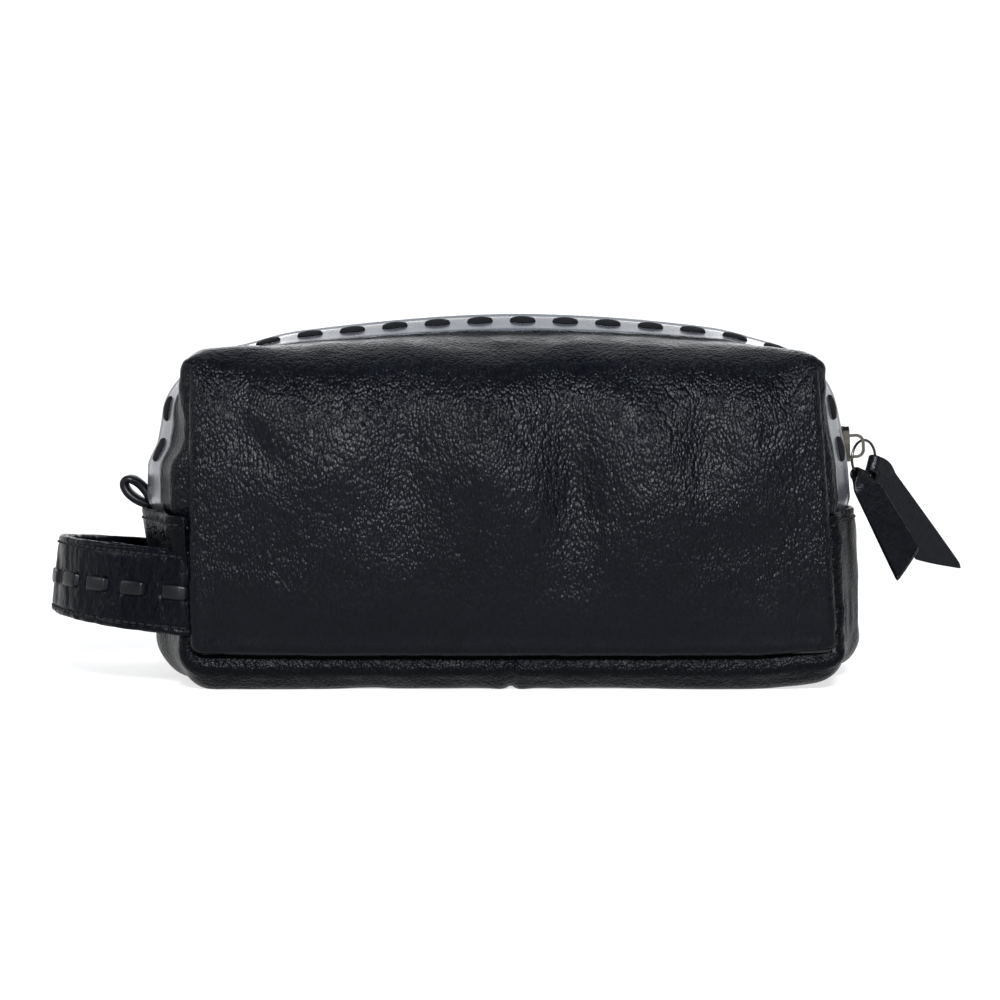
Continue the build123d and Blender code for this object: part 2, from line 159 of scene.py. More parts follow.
def smoothstep(x, low, high):
    """0 below low, 1 above high, smooth between."""
    t = np.clip((x - low) / (high - low), 0, 1)
    return t * t * (3 - 2 * t)


def bell(x, centre, width):
    """1 at the centre, and smoothly down to nearly 0 at twice the width."""
    return np.exp(-((x - centre) / width) ** 2)


def groove(distance, depth, width, roll):
    """Profile across a seam: a narrow valley with a low roll on each side."""
    return roll * bell(distance, 2.6 * width, 1.6 * width) - depth * np.exp(-(distance / width) ** 1.4)


def distances_along(line):
    """How far along a line of points each of them is."""
    return np.concatenate([[0], np.cumsum(np.linalg.norm(np.diff(line, axis=0), axis=1))])


def read_at(wanted, along, values):
    """Values at the wanted distances along a line."""
    return np.column_stack([np.interp(wanted, along, column) for column in values.T])


def resample(line, count):
    """The same line as count equal steps."""
    along = distances_along(line)
    return read_at(np.linspace(0, along[-1], count + 1), along, line)


def arc_points(centre, radius, start, end):
    """Points on an arc in the XZ plane, angles in degrees."""
    count = max(3, int(abs(end - start) * radius / 60) + 3)
    angles = np.radians(np.linspace(start, end, count))
    return np.column_stack([centre[0] + radius * np.cos(angles), centre[1] + radius * np.sin(angles)])


def distance_to_segment(x, z, start, end):
    """Distance in the XZ plane from points to a straight segment."""
    ax, az = start
    bx, bz = end
    length = (bx - ax) ** 2 + (bz - az) ** 2
    t = np.clip(((x - ax) * (bx - ax) + (z - az) * (bz - az)) / length, 0, 1)
    return np.hypot(x - ax - t * (bx - ax), z - az - t * (bz - az))


def nearest(points, line):
    """Distance from each point to a line of points, and which of them is nearest."""
    distance = np.empty(len(points))
    index = np.empty(len(points), int)
    batch = 8000
    for start in range(0, len(points), batch):
        part = points[start:start + batch]
        squared = ((part[:, None, :] - line[None, :, :]) ** 2).sum(2)
        index[start:start + batch] = squared.argmin(1)
        distance[start:start + batch] = np.sqrt(squared.min(1))
    return distance, index


def hash_lattice(ix, iy, iz, seed):
    """Repeatable pseudo-random value from 0 to 1 at each lattice point."""
    h = (ix * 374761393 + iy * 668265263 + iz * 2147483647 + seed * 974634777) & 0xFFFFFFFF
    h = ((h ^ (h >> 13)) * 1274126177) & 0xFFFFFFFF
    return ((h ^ (h >> 16)) & 0xFFFFFF) / float(0xFFFFFF)


def noise3(points, size, seed=0):
    """Smooth noise from -1 to 1, with features about size across."""
    q = points / size
    cell = np.floor(q).astype(np.int64)
    f = q - cell
    f = f * f * f * (f * (f * 6 - 15) + 10)
    total = np.zeros(len(points))
    for corner in np.ndindex(2, 2, 2):
        weight = np.where(corner, f, 1 - f).prod(axis=1)
        total += weight * hash_lattice(*(cell + corner).T, seed)
    return total * 2 - 1


def noise_along(distances, size, seed):
    """The same noise along one line."""
    return noise3(np.column_stack([distances, distances * 0, distances * 0]), size, seed)


def fractal(points, size, seed, octaves=2):
    """Noise at several sizes, finer ones weaker."""
    return sum(noise3(points, size / 2 ** k, seed + k) * 0.55 ** k for k in range(octaves))


# ---------------------------------------------------------------- meshes of quads
def grid_quads(rows, columns, closed=False):
    """Quads of a grid of points stored row by row."""
    i = np.arange(rows - 1)[:, None]
    j = np.arange(columns if closed else columns - 1)[None, :]
    k = (j + 1) % columns
    quads = np.stack([i * columns + j, i * columns + k, (i + 1) * columns + k, (i + 1) * columns + j], -1)
    return quads.reshape(-1, 4)


def quad_sides(quads):
    """The four sides of every quad, as pairs of vertices."""
    return np.vstack([quads[:, [k, (k + 1) % 4]] for k in range(4)])


def normals_of(points, quads):
    """Unit normal at each vertex."""
    a, b, c, d = (points[quads[:, k]] for k in range(4))
    face = np.cross(c - a, d - b)
    normals = np.zeros_like(points)
    for k in range(4):
        for axis in range(3):
            normals[:, axis] += np.bincount(quads[:, k], face[:, axis], len(points))
    return unit(normals)


def relax(points, quads, weight, rounds):
    """Moves each vertex towards the mean of its neighbours by its weight."""
    edges = np.unique(np.sort(quad_sides(quads), axis=1), axis=0)
    count = np.bincount(edges.ravel(), minlength=len(points)).astype(float)[:, None]
    for _ in range(rounds):
        total = np.zeros_like(points)
        for axis in range(3):
            total[:, axis] = (np.bincount(edges[:, 0], points[edges[:, 1], axis], len(points))
                              + np.bincount(edges[:, 1], points[edges[:, 0], axis], len(points)))
        points = points + (total / count - points) * weight[:, None]
    return points


def cut_out(points, quads, chosen):
    """The chosen quads with only their own vertices."""
    used, inverse = np.unique(quads[chosen], return_inverse=True)
    return points[used], inverse.reshape(-1, 4)


def thick_shell(points, quads, thickness, rim_steps=3):
    """A skin of that thickness below the given surface, with rounded edges."""
    normals = normals_of(points, quads)
    sides = quad_sides(quads)
    owner = np.tile(np.arange(len(quads)), 4)
    _, inverse, counts = np.unique(np.sort(sides, axis=1), axis=0, return_inverse=True, return_counts=True)
    open_sides = counts[inverse.ravel()] == 1
    border = sides[open_sides]
    away = points[border].mean(1) - points[quads].mean(1)[owner[open_sides]]
    tangent = unit(points[border[:, 1]] - points[border[:, 0]])
    away = away - tangent * (away * tangent).sum(1, keepdims=True)
    outward = np.zeros_like(points)
    for k in (0, 1):
        np.add.at(outward, border[:, k], away)
    outward = unit(outward - normals * (outward * normals).sum(1, keepdims=True))

    total = len(points)
    edge_ids = np.unique(border)
    layers, stacked, start = [np.arange(total)], [points], total
    for step in range(1, rim_steps + 1):
        angle = math.pi * step / (rim_steps + 1)
        rim = (points - normals * (thickness / 2) * (1 - math.cos(angle))
               + outward * (thickness / 2) * math.sin(angle))
        ids = np.full(total, -1)
        ids[edge_ids] = start + np.arange(len(edge_ids))
        layers.append(ids)
        stacked.append(rim[edge_ids])
        start += len(edge_ids)
    layers.append(start + np.arange(total))
    stacked.append(points - normals * thickness)
    faces = [quads, quads[:, ::-1] + start]
    for upper, lower in zip(layers, layers[1:]):
        faces.append(np.column_stack([upper[border[:, 1]], upper[border[:, 0]],
                                      lower[border[:, 0]], lower[border[:, 1]]]))
    return np.vstack(stacked), np.vstack(faces)


def sweep(centres, outs, sides, widths, heights, corner=3.0, around=16, closed=False):
    """A flexible strip: a rounded section carried along a line, with closed ends or as a closed loop.

    The directions, widths and heights are one for each point of the line, or one for all of them.
    """
    angle = np.linspace(0, 2 * math.pi, around, endpoint=False)
    across = np.sign(np.cos(angle)) * np.abs(np.cos(angle)) ** (2 / corner) / 2
    up = np.sign(np.sin(angle)) * np.abs(np.sin(angle)) ** (2 / corner) / 2
    count = len(centres)
    outs, sides = np.broadcast_to(outs, (count, 3)), np.broadcast_to(sides, (count, 3))
    widths, heights = np.broadcast_to(widths, count), np.broadcast_to(heights, count)
    rings = (centres[:, None] + sides[:, None] * (across[None] * widths[:, None])[..., None]
             + outs[:, None] * (up[None] * heights[:, None])[..., None])
    points = rings.reshape(-1, 3)
    if closed:
        return points, grid_quads(count + 1, around, closed=True) % len(points)
    faces = grid_quads(count, around, closed=True).tolist()
    faces.append(list(range(around))[::-1])
    faces.append(list(range((count - 1) * around, count * around)))
    return points, faces


def repeat_shape(shape, places, x_axes, y_axes, z_axes):
    """Copies of one small shape at many places, as a single mesh."""
    points, faces = shape
    placed = (places[:, None] + x_axes[:, None] * points[None, :, :1]
              + y_axes[:, None] * points[None, :, 1:2] + z_axes[:, None] * points[None, :, 2:3])
    count = len(points)
    every = [[i + k * count for i in face] for k in range(len(places)) for face in faces]
    return placed.reshape(-1, 3), every


def make_mesh(name, points, faces):
    """A smooth mesh object from points in millimetres."""
    mesh = bpy.data.meshes.new(name)
    mesh.from_pydata((np.asarray(points) * MM).tolist(), [], [tuple(int(i) for i in f) for f in faces])
    mesh.validate()
    shape = bmesh.new()
    shape.from_mesh(mesh)
    bmesh.ops.recalc_face_normals(shape, faces=shape.faces)
    shape.to_mesh(mesh)
    shape.free()
    mesh.shade_smooth()
    thing = bpy.data.objects.new(name, mesh)
    bpy.context.scene.collection.objects.link(thing)
    return thing


def add_piece(name, shape, material, node, body="bag"):
    """A finished piece from its points and faces, which stands for one CAD node."""
    piece = make_mesh(name, *shape)
    piece.data.materials.append(material)
    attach(piece, body)
    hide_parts(node)


# ---------------------------------------------------------------- the bag's surface
def section_outline(section):
    """One cross-section as a closed ring of XZ points, starting at the lower left corner."""
    _, left, right, base, crest, corner, rise, foot = section
    corner_z = crest - rise
    left_centre = np.array([-left + corner, corner_z])
    right_centre = np.array([right - corner, corner_z])
    half = (right_centre[0] - left_centre[0]) / 2
    top_radius = (half ** 2 + rise ** 2 - corner ** 2) / (2 * (rise - corner))
    top_centre = np.array([(left_centre[0] + right_centre[0]) / 2, crest - top_radius])
    spread = math.degrees(math.asin(half / (top_radius - corner)))
    tight = RIGHT_FOOT * foot

    def reach(lean, radius):
        """How far the foot's centre stands out from the corner's centre."""
        lean = math.radians(lean)
        return (corner - radius - (base + radius - corner_z) * math.sin(lean)) / math.cos(lean)

    def split(wall):
        """The wall's two stretches, which meet at the hem."""
        above = wall[:, 1] > HEM_Z
        turn = int(np.argmax(above != above[0]))
        a, b = wall[turn - 1], wall[turn]
        cut = a + (b - a) * (HEM_Z - a[1]) / (b[1] - a[1])
        return np.vstack([wall[:turn], cut]), np.vstack([cut, wall[turn:]])

    left_foot = np.array([left_centre[0] - reach(LEAN_LEFT, foot), base + foot])
    right_foot = np.array([right_centre[0] + reach(LEAN_RIGHT, tight), base + tight])
    right_low, right_high = split(np.vstack([arc_points(right_foot, tight, -45, LEAN_RIGHT),
                                             arc_points(right_centre, corner, LEAN_RIGHT, 45)]))
    left_high, left_low = split(np.vstack([arc_points(left_centre, corner, 135, 180 - LEAN_LEFT),
                                           arc_points(left_foot, foot, 180 - LEAN_LEFT, 225)]))
    base_line = np.vstack([arc_points(left_foot, foot, 225, 270), arc_points(right_foot, tight, 270, 315)])
    top_line = np.vstack([arc_points(right_centre, corner, 45, 90 - spread),
                          arc_points(top_centre, top_radius, 90 - spread, 90 + spread),
                          arc_points(left_centre, corner, 90 + spread, 135)])
    spans = [(base_line, ALONG_TOP), (right_low, ALONG_LOWER_END), (right_high, ALONG_UPPER_END),
             (top_line, ALONG_TOP), (left_high, ALONG_UPPER_END), (left_low, ALONG_LOWER_END)]
    return np.vstack([resample(line, count)[:-1] for line, count in spans])


def wrap_rows():
    """The surface between the corner seams: one ring of points for each value of y."""
    known_y = np.array([s[0] for s in SECTIONS])
    rings = np.array([section_outline(s) for s in SECTIONS])
    slopes = np.zeros_like(rings)
    for k in range(1, len(known_y) - 1):
        slopes[k] = (rings[k + 1] - rings[k - 1]) / (known_y[k + 1] - known_y[k - 1])
    slopes[1] *= ZIP_SLOPE
    slopes[-1] = CORNER_SLOPE * (rings[-1] - rings[-2]) / (known_y[-1] - known_y[-2])
    rows = []
    for y in ROW_Y:
        k = int(np.clip(np.searchsorted(known_y, abs(y)), 1, len(known_y) - 1))
        span = known_y[k] - known_y[k - 1]
        t = (abs(y) - known_y[k - 1]) / span
        ring = ((2 * t ** 3 - 3 * t ** 2 + 1) * rings[k - 1] + (3 * t ** 2 - 2 * t ** 3) * rings[k]
                + (t ** 3 - 2 * t ** 2 + t) * span * slopes[k - 1] + (t ** 3 - t ** 2) * span * slopes[k])
        x, z = ring.T
        sag = LEFT_SAG * smoothstep(-x, -15, 72) + BAND_END_SAG * smoothstep(np.abs(x), 76, 100)
        sag = sag * smoothstep(z, 90, 116) * (1 - smoothstep(abs(y), 26, 45))
        rows.append(np.column_stack([x, np.full(RING, y), z - sag]))
    return np.array(rows)


def corner_sides(ring):
    """The bottom, right, top and left of a corner ring, each running rightwards or upwards."""
    left = np.concatenate([ring[APEX_LEFT:], ring[:1]])[::-1]
    return ring[:ALONG_TOP + 1], ring[ALONG_TOP:APEX_RIGHT + 1], ring[APEX_RIGHT:APEX_LEFT + 1][::-1], left


def face_grid(ring, side):
    """The front or back face inside one corner ring, a soft pillow."""
    bottom, right, top, left = corner_sides(ring)
    u = np.linspace(0, 1, ALONG_TOP + 1)[None, :, None]
    v = np.linspace(0, 1, SIDE + 1)[:, None, None]
    grid = ((1 - v) * bottom[None] + v * top[None] + (1 - u) * left[:, None] + u * right[:, None]
            - (1 - u) * (1 - v) * bottom[0] - u * (1 - v) * bottom[-1]
            - (1 - u) * v * top[0] - u * v * top[-1])
    across = 1 - np.abs(2 * u[..., 0] - 1) ** FACE_BULGE_ACROSS
    upward = 1 - np.abs(2 * v[..., 0] - 1) ** FACE_BULGE_UP
    grid[:, :, 1] += side * FACE_BULGE * np.sqrt(np.clip(across * upward, 0, 1))
    return grid


def round_top(strip, grid):
    """Rolls the panel smoothly from its face over the top; strip runs from the corner line inwards."""
    top = strip[:PANEL_ROWS, APEX_RIGHT:APEX_LEFT + 1][:, ::-1]
    profile = np.concatenate([grid[-1 - ROLL_FACE_ROWS:-1], top])
    window = np.exp(-((np.arange(len(profile)) - ROLL_FACE_ROWS) / ROLL_REACH) ** 4)
    column = np.arange(ALONG_TOP + 1)
    reach = smoothstep(np.minimum(column, ALONG_TOP - column), 1, 18)
    weight = (window[:, None] * reach[None, :])[1:-1, :, None]
    for _ in range(ROLL_ROUNDS):
        mean = (profile[:-2] + profile[2:]) / 2
        profile[1:-1] += 0.5 * weight * (mean - profile[1:-1])
    grid[-1 - ROLL_FACE_ROWS:-1] = profile[:ROLL_FACE_ROWS]
    grid[-1] = profile[ROLL_FACE_ROWS]
    strip[:PANEL_ROWS, APEX_RIGHT:APEX_LEFT + 1] = profile[ROLL_FACE_ROWS:][:, ::-1]


def assemble():
    """Whole outer surface: points, quads, each quad's part and the part tucked behind it, and row ids."""
    rows = wrap_rows()
    ids = np.arange(len(ROW_Y) * RING).reshape(len(ROW_Y), RING)
    grids = [face_grid(rows[0], -1), face_grid(rows[-1], 1)]
    round_top(rows, grids[0])
    round_top(rows[::-1], grids[1])
    following = np.roll(ids, -1, axis=1)
    quads = np.stack([ids[:-1], ids[1:], following[1:], following[:-1]], -1).reshape(-1, 4)

    column = np.arange(RING)
    upper = (column >= HEM_RIGHT) & (column < HEM_LEFT)
    tucked = (column >= HEM_RIGHT - TUCK) & (column < HEM_LEFT + TUCK) & ~upper
    right_half = (column >= ALONG_TOP // 2) & (column < HEM_RIGHT)
    above = np.repeat(("front_panel", "band_front", "zip_line", "band_back", "back_panel"), STEPS)[:, None]
    own = np.where(upper, above, np.where(right_half, "gusset_right", "gusset_left")).ravel()
    parts = np.column_stack([own, np.where(tucked, above, "").ravel()])

    points = [rows.reshape(-1, 3)]
    start = ids.size
    for (name, side), row, grid in zip(SIDES, (0, -1), grids):
        inner = grid[1:-1, 1:-1].reshape(-1, 3)
        face_ids = np.empty(grid.shape[:2], int)
        face_ids[1:-1, 1:-1] = start + np.arange(len(inner)).reshape(SIDE - 1, ALONG_TOP - 1)
        face_ids[0], face_ids[:, -1], face_ids[-1], face_ids[:, 0] = corner_sides(ids[row])
        a, b = face_ids[:-1, :-1].ravel(), face_ids[:-1, 1:].ravel()
        c, d = face_ids[1:, 1:].ravel(), face_ids[1:, :-1].ravel()
        quads = np.vstack([quads, np.column_stack([a, b, c, d] if side < 0 else [a, d, c, b])])
        parts = np.vstack([parts, np.tile([name + "_panel", ""], (len(a), 1))])
        points.append(inner)
        start += len(inner)
    return np.vstack(points), quads, parts, ids


def face_relief(form, to_corner, sewn):
    """Slow dents of the leather away from the zip bands, and the two faces' broad forms and creases."""
    x, y, z = form.T
    free = smoothstep(np.abs(y), BAND_OUTER_Y - 1, BAND_OUTER_Y + 8)
    free = np.maximum(free, smoothstep(HEM_Z - z, 0, 10))
    offset = np.zeros(len(form))
    for height, size, seed, fade in DENTS:
        offset += height * fractal(form, size, seed) * (1 - sewn * (1 - smoothstep(to_corner, *fade))) * free
    face = smoothstep(np.abs(y), 44, 57.5) * (1 - sewn * bell(to_corner, 0, 7.0))
    for px, pz, sx, sz, height in FACE_FORMS:
        offset += height * bell(x, px, sx) * bell(z, pz, sz) * face * np.where(y < 0, 1.0, BACK_SHARE)
    for start, finish, depth, width in CREASES:
        crease = groove(distance_to_segment(x, z, start, finish), depth, width, 0.3 * depth)
        offset += np.where(y < 0, crease * face, 0)
    return offset


def end_relief(form, to_corner, wrap):
    """Swells and folds of the two ends, and the panel's ridge beside each end of the zip bands."""
    x, y, z = form.T
    # the left end bulges at its hem, and both ends draw in under the shoulder
    left = 3.0 * smoothstep(88 - z, 0, 10) * smoothstep(z, 16, 58) - 1.7 * bell(z, 95, 8.0)
    right = 0.9 * bell(z, 40, 16.0) - 1.7 * bell(z, 97, 10.0)
    offset = smoothstep(np.abs(x), 100, 110) * wrap * np.where(x < 0, left, right)
    ridge = bell(np.abs(x), 98, 15.0) * bell(np.abs(y), 42, 10.0) * smoothstep(z, 100, 112)
    offset += np.where(x < 0, 2.3, 1.3) * ridge

    # upright folds of the gusset, and the line of stitching that holds its hem
    end = smoothstep(np.abs(x), 105, 112) * wrap
    fold_line = np.column_stack([y, z * 0.16, np.sign(x) * 60.0])
    folds = noise3(fold_line, 8.0, 41) + 0.45 * noise3(fold_line, 3.6, 43)
    reach = smoothstep(z, 8, 26) * (1 - smoothstep(z, HEM_Z - 7, HEM_Z - 1))
    offset += end * folds * reach * smoothstep(to_corner, 0, 5)
    return offset - 0.35 * end * bell(z, HEM_Z - 2.6, 0.9)


def seam_relief(form, to_corner, sewn, wrap):
    """Corner seams with their gathers, the turned edges beside the zip and the seam underneath."""
    x, y, z = form.T
    place = np.column_stack([x, z, np.sign(y) * 40.0])
    gather = 0.7 * (noise3(place, 3.6, 31) + noise3(place, 7.5, 37))
    beside = np.exp(-(np.maximum(to_corner - 2.0, 0) / 5.0) ** 1.5) * smoothstep(to_corner, 0.6, 2.6)
    offset = sewn * (groove(to_corner, 3.6, 1.9, 0.9) + np.where(wrap, 0.75, 0.22) * gather * beside)

    # the panel's turned edge stands over the band, and the band's own edge is turned beside the zip
    above_hem = smoothstep(z, HEM_Z - 1, HEM_Z + 1) * wrap
    from_seam = np.abs(y) - BAND_OUTER_Y
    from_zip = np.abs(y) - BAND_INNER_Y
    lip = 0.75 * bell(from_seam, 2.2, 1.8) - 1.3 * bell(from_seam, -0.4, 1.0)
    lip += (from_seam > 0) * 0.22 * gather * bell(from_seam, 0, 6.0)
    edge = 0.35 * bell(from_zip, 1.2, 1.3) - 0.3 * bell(from_zip, 3.4, 0.8)
    offset += above_hem * (lip + edge * ((from_seam < 0) & (from_zip > -0.1)))
    return offset + smoothstep(14 - z, 0, 2) * wrap * groove(np.abs(x - 2.0), 1.3, 1.5, 0.4)


def settle(points, form):
    """Lifts the underside at the right and rests the bag on the floor."""
    x, _, z = form.T
    height = points[:, 2] + RIGHT_LIFT * smoothstep(x, 86, 120) * (1 - smoothstep(z, 2, 26))
    height = FLOOR_SOFTNESS * np.log1p(np.exp(np.clip(height / FLOOR_SOFTNESS, -30, 500)))
    pressed = np.maximum(height - FLOOR_PRESS, FLOOR_GAP)
    return np.column_stack([points[:, :2], np.where(height > PRESS_BELOW, height, pressed)])


def shape_bag():
    """The bag's surface with its roll, seams, gathers, folds and dents."""
    points, quads, parts, ids = assemble()
    to_corner = np.full(len(points), 99.0)
    corner_index = np.zeros(len(points), int)
    for ring, side in ((ids[0], -1), (ids[-1], 1)):
        near = np.flatnonzero(points[:, 1] * side > 25)
        to_corner[near], corner_index[near] = nearest(points[near], points[ring])
    # 1 where the corner seam is sewn, 0 where the panel rolls over the top
    on_top = np.minimum(corner_index - APEX_RIGHT, APEX_LEFT - corner_index)
    sewn = 1 - smoothstep(on_top, -4.0, 7.0)

    hold = np.clip((to_corner - 0.5) / 6.0, 0, 1)
    form = relax(points, quads, 0.5 * np.maximum(hold, 1 - sewn), 16)
    wrap = np.abs(form[:, 1]) <= SEAM_Y + 0.01
    offset = (face_relief(form, to_corner, sewn) + end_relief(form, to_corner, wrap)
              + seam_relief(form, to_corner, sewn, wrap))
    return settle(form + normals_of(form, quads) * offset[:, None], form), form, quads, parts, ids


# ---------------------------------------------------------------- materials
class Nodes:
    """Short names for building a node material."""

    def __init__(self, name):
        self.material = bpy.data.materials.new(name)
        self.material.use_nodes = True
        self.tree = self.material.node_tree
        self.tree.nodes.clear()
        output = self.tree.nodes.new("ShaderNodeOutputMaterial")
        self.shader = self.tree.nodes.new("ShaderNodeBsdfPrincipled")
        self.tree.links.new(self.shader.outputs[0], output.inputs[0])
        self.coordinates = self.tree.nodes.new("ShaderNodeTexCoord").outputs["Object"]

    def feed(self, socket, value):
        """Links the value to a socket, or sets it there."""
        if isinstance(value, bpy.types.NodeSocket):
            self.tree.links.new(value, socket)
        else:
            socket.default_value = value

    def put(self, kind, **values):
        node = self.tree.nodes.new(kind)
        for key, value in values.items():
            if key in node.inputs:
                self.feed(node.inputs[key], value)
            else:
                setattr(node, key, value)
        return node

    def mapped(self, scale=(1, 1, 1)):
        return self.put("ShaderNodeMapping", Vector=self.coordinates, Scale=scale).outputs[0]

    def noise(self, vector, size_mm, detail=2.0, roughness=0.5, distortion=0.0, output="Fac"):
        return self.put("ShaderNodeTexNoise", Vector=vector, Scale=1 / (size_mm * MM), Detail=detail,
                        Roughness=roughness, Distortion=distortion).outputs[output]

    def warped(self, vector, size_mm, amount_mm):
        """The same coordinates shifted by a noise, so that a pattern loses its even spacing."""
        shift = self.put("ShaderNodeVectorMath", operation="MULTIPLY_ADD")
        values = (self.noise(vector, size_mm, output="Color"), (amount_mm * MM,) * 3, vector)
        for socket, value in zip(shift.inputs, values):
            self.feed(socket, value)
        return shift.outputs[0]

    def cells(self, vector, size_mm, feature="F1", **values):
        return self.put("ShaderNodeTexVoronoi", feature=feature, Vector=vector, Scale=1 / (size_mm * MM),
                        **values).outputs["Distance"]

    def math(self, operation, *values, clamp=False):
        node = self.put("ShaderNodeMath", operation=operation, use_clamp=clamp)
        for socket, value in zip(node.inputs, values):
            self.feed(socket, value)
        return node.outputs[0]

    def ramp(self, value, *stops):
        node = self.tree.nodes.new("ShaderNodeValToRGB")
        self.feed(node.inputs[0], value)
        ramp = node.color_ramp
        while len(ramp.elements) < len(stops):
            ramp.elements.new(0.5)
        for element, (place, grey) in zip(ramp.elements, stops):
            element.position = place
            element.color = (grey, grey, grey, 1)
        return node.outputs[0]

    def mix(self, factor, a, b, blend="MIX"):
        node = self.put("ShaderNodeMix", data_type="RGBA", blend_type=blend)
        for index, value in zip((0, 6, 7), (factor, a, b)):
            self.feed(node.inputs[index], (*value, 1) if isinstance(value, tuple) else value)
        return node.outputs[2]

    def bump(self, height, depth_mm):
        return self.put("ShaderNodeBump", Height=height, Strength=1.0, Distance=depth_mm * MM).outputs[0]

    def shade(self, **sockets):
        for key, value in sockets.items():
            self.feed(self.shader.inputs[key.replace("_", " ")], value)
        return self.material


def brighter(tone, factor):
    """The same colour, lighter or darker."""
    return tuple(factor * c for c in tone)


def pebbled_leather(name, stretch=(1, 1, 1), pebble_mm=1.0, tone=(0.0012, 0.0014, 0.0024), depth=0.46,
                    smooth_below=None, shine=0.08):
    """Soft black leather with a pebbled grain of small rounded cells and fine creases."""
    n = Nodes(name)
    base = n.mapped(stretch)
    vector = n.warped(base, 4.0, 1.3)
    pebbles = n.cells(vector, pebble_mm)
    clusters = n.cells(vector, 2.3 * pebble_mm, "SMOOTH_F1", Smoothness=0.5)
    dome = n.math("SUBTRACT", 1.0, pebbles, clamp=True)
    swell = n.math("MULTIPLY", n.math("SUBTRACT", 1.0, clusters, clamp=True), 0.8)
    fine = n.math("MULTIPLY", n.noise(vector, 0.5, 3, 0.6), 0.35)
    grain = n.math("ADD", n.math("ADD", dome, swell), fine)
    strength = n.math("MULTIPLY_ADD", n.noise(base, 16.0), 1.1, 0.3)
    height = n.math("MULTIPLY", grain, strength)
    if smooth_below is not None:
        # the ramp takes values up to 1, so the level is scaled up to use more of it
        scale = 8.0
        low, high = (scale * level * MM for level in smooth_below)
        wander = n.math("MULTIPLY", n.noise(base, 30.0), 0.03)
        place = n.put("ShaderNodeSeparateXYZ", Vector=n.coordinates)
        level = n.math("MULTIPLY", n.math("ADD", place.outputs["Z"], wander), scale)
        height = n.math("MULTIPLY", height, n.ramp(level, (low, 0.12), (high, 1.0)))
    creases = n.noise(n.mapped((1.0, 1.0, 0.45)), 5.0, 4, 0.55, 0.6)
    height = n.math("ADD", height, n.math("MULTIPLY", creases, 0.8))
    broad = n.ramp(n.noise(base, 30.0, 3), (0.3, 0.0), (0.7, 1.0))
    # painted shade: the colour darkens to 0.55 of its tone in the hollows between the pebbles, where shade
    # falls
    hollow_shade = n.ramp(pebbles, (0.3, 1.0), (0.8, 0.55))
    colour = n.mix(1.0, n.mix(broad, tone, brighter(tone, 1.35)), hollow_shade, "MULTIPLY")
    rough = n.ramp(n.noise(base, 7.0, 3, 0.6), (0.25, 0.27), (0.75, 0.37))
    return n.shade(Base_Color=colour, Roughness=rough, Normal=n.bump(height, depth), Specular_IOR_Level=shine)


def glazed_leather_painted_reflection(name):
    """Smooth glazed leather with a fine crackle, for the bands beside the zip; its grey colour is painted
    reflection on black leather.
    """
    n = Nodes(name)
    base = n.mapped()
    crackle = n.cells(n.warped(base, 2.2, 1.0), 1.1, "DISTANCE_TO_EDGE")
    lines = n.math("MULTIPLY", n.math("SMOOTH_MIN", crackle, 0.08), 4.0)
    height = n.math("ADD", lines, n.math("MULTIPLY", n.noise(base, 3.0, 3), 1.2))
    # painted reflection: a light grey far above the black of the other leather stands in for the light the
    # bands reflect, varying at random between two greys
    colour = n.mix(n.noise(base, 12.0), (0.040, 0.041, 0.048), (0.062, 0.063, 0.074))
    rough = n.ramp(n.noise(base, 5.0, 3, 0.6), (0.3, 0.24), (0.7, 0.36))
    return n.shade(Base_Color=colour, Roughness=rough, Normal=n.bump(height, 0.05), Specular_IOR_Level=0.6,
                   Coat_Weight=0.75, Coat_Roughness=0.2)


def plain_leather(name, tone, roughness, shine=0.04):
    """Smooth leather with a faint fibre and slight colour variation, for the laces."""
    n = Nodes(name)
    base = n.mapped()
    fibre = n.noise(base, 0.6, 4, 0.65)
    slow = n.noise(base, 8.0, 3)
    normal = n.bump(n.math("ADD", fibre, n.math("MULTIPLY", slow, 2.0)), 0.06)
    colour = n.mix(slow, tone, brighter(tone, 1.6))
    rough = n.ramp(fibre, (0.3, roughness - 0.07), (0.7, roughness + 0.08))
    return n.shade(Base_Color=colour, Roughness=rough, Normal=normal, Specular_IOR_Level=shine)


def antique_metal(name, tone=(0.075, 0.068, 0.058)):
    """Dark antique brass, brighter where it is rubbed."""
    n = Nodes(name)
    base = n.mapped()
    stain = n.noise(base, 1.6, 4, 0.6)
    colour = n.mix(n.ramp(stain, (0.35, 0.0), (0.7, 1.0)), brighter(tone, 0.45), tone)
    rough = n.ramp(stain, (0.3, 0.42), (0.75, 0.24))
    return n.shade(Base_Color=colour, Roughness=rough, Normal=n.bump(n.noise(base, 0.35), 0.02), Metallic=1.0)


def woven(name, tone, pitch_mm=0.5):
    """Closely woven textile: two sets of threads that cross."""
    n = Nodes(name)
    x, y, z = n.put("ShaderNodeSeparateXYZ", Vector=n.coordinates).outputs
    turns = 2 * math.pi / (pitch_mm * MM)
    warp = n.math("SINE", n.math("MULTIPLY", n.math("ADD", x, z), turns))
    weft = n.math("SINE", n.math("MULTIPLY", y, turns))
    height = n.math("ADD", n.math("MULTIPLY", warp, 0.5), n.math("MULTIPLY", weft, 0.5))
    fuzz = n.noise(n.mapped(), 0.3, 3, 0.6)
    colour = n.mix(fuzz, tone, brighter(tone, 1.8))
    return n.shade(Base_Color=colour, Roughness=0.85, Normal=n.bump(n.math("ADD", height, fuzz), 0.05),
                   Specular_IOR_Level=0.1, Sheen_Weight=0.03)


# ---------------------------------------------------------------- camera, lights and floor, in metres
CAMERA_PLACE = (-0.0019, -1.2, 0.1386)
CAMERA_DOWN = 3.5
FLOOR_HALF = 30.0
